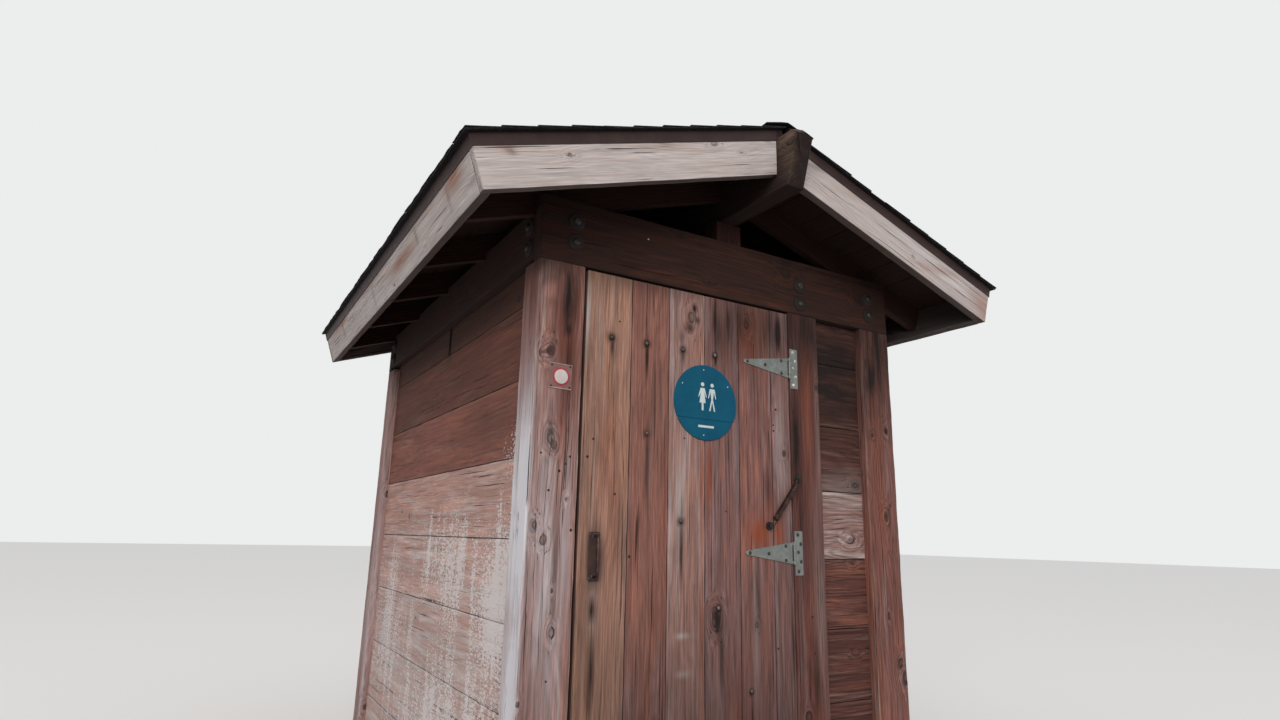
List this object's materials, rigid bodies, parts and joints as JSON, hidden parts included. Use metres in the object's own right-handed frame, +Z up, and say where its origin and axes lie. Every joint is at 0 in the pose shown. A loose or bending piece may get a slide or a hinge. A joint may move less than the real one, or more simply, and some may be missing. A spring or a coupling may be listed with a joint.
{
  "type": "wooden outhouse",
  "caption": "Small gabled timber cabin with corner posts, horizontal plank walls, open eaves and a ledged door on strap hinges that swings outward.",
  "frame": {"origin": "on the ground, under the middle of the ridge beam", "axes": "+Z up, +Y from the door side to the back, +X to the right of someone facing the door"},
  "size_m": [2.655, 3.084, 2.8435],
  "materials": {
    "post_timber": "weathered sawn timber, deep checks",
    "dark_timber": "dark sheltered timber",
    "wall_planks": "weathered planks with pale lichen low down",
    "floor_timber": "worn sawn timber",
    "door_timber": "weathered red-brown boards",
    "pale_trim": "bleached grey boards",
    "roof_deck": "dark stained decking",
    "drip_metal": "dark brown painted edging",
    "roofing": "mineral surfaced roofing, black",
    "hinge_steel": "dull galvanised steel",
    "iron": "dark rusty iron",
    "round_sign": "satin teal plastic",
    "small_sign": "faded painted plate"
  },
  "bodies": {
    "cabin": {"front_left_post": "post_timber", "front_right_post": "post_timber", "rear_left_post": "post_timber", "rear_right_post": "post_timber", "door_post": "post_timber", "front_beam": "dark_timber", "rear_beam": "dark_timber", "left_beam": "dark_timber", "right_beam": "dark_timber", "front_plate": "dark_timber", "rear_plate": "dark_timber", "front_king_post": "dark_timber", "rear_king_post": "dark_timber", "ridge_beam": "dark_timber", "rafter_pair_1": "dark_timber", "rafter_pair_2": "dark_timber", "rafter_pair_3": "dark_timber", "rafter_pair_4": "dark_timber", "rafter_pair_5": "dark_timber", "left_wall": "wall_planks", "right_wall": "wall_planks", "rear_wall": "wall_planks", "front_bay_wall": "wall_planks", "sills": "floor_timber", "floor_joists": "floor_timber", "floor_boards": "floor_timber", "threshold": "floor_timber", "door_stops": "floor_timber", "front_left_barge_board": "pale_trim", "front_right_barge_board": "pale_trim", "rear_left_barge_board": "pale_trim", "rear_right_barge_board": "pale_trim", "left_fascia": "pale_trim", "right_fascia": "pale_trim", "left_roof_deck": "roof_deck", "right_roof_deck": "roof_deck", "left_drip_edge": "drip_metal", "right_drip_edge": "drip_metal", "left_roofing": "roofing", "right_roofing": "roofing", "ridge_cap": "roofing", "upper_hinge_plate": "hinge_steel", "lower_hinge_plate": "hinge_steel", "spring_post_foot": "iron", "small_sign": "small_sign"},
    "door": {"door_boards": "door_timber", "door_ledges": "door_timber", "upper_hinge_strap": "hinge_steel", "lower_hinge_strap": "hinge_steel", "spring_door_foot": "iron", "closing_spring": "iron", "door_pull": "iron", "round_sign": "round_sign"}
  },
  "joints": [
    {"name": "door_hinge", "type": "hinge", "parent": "cabin", "child": "door", "pos_m": [0.272, -1.1078, 1.5155], "axis": [0, 0, 1], "range_deg": [0, 100], "stiffness_Nm_per_rad": 3, "deforming": ["closing_spring"]}
  ]
}
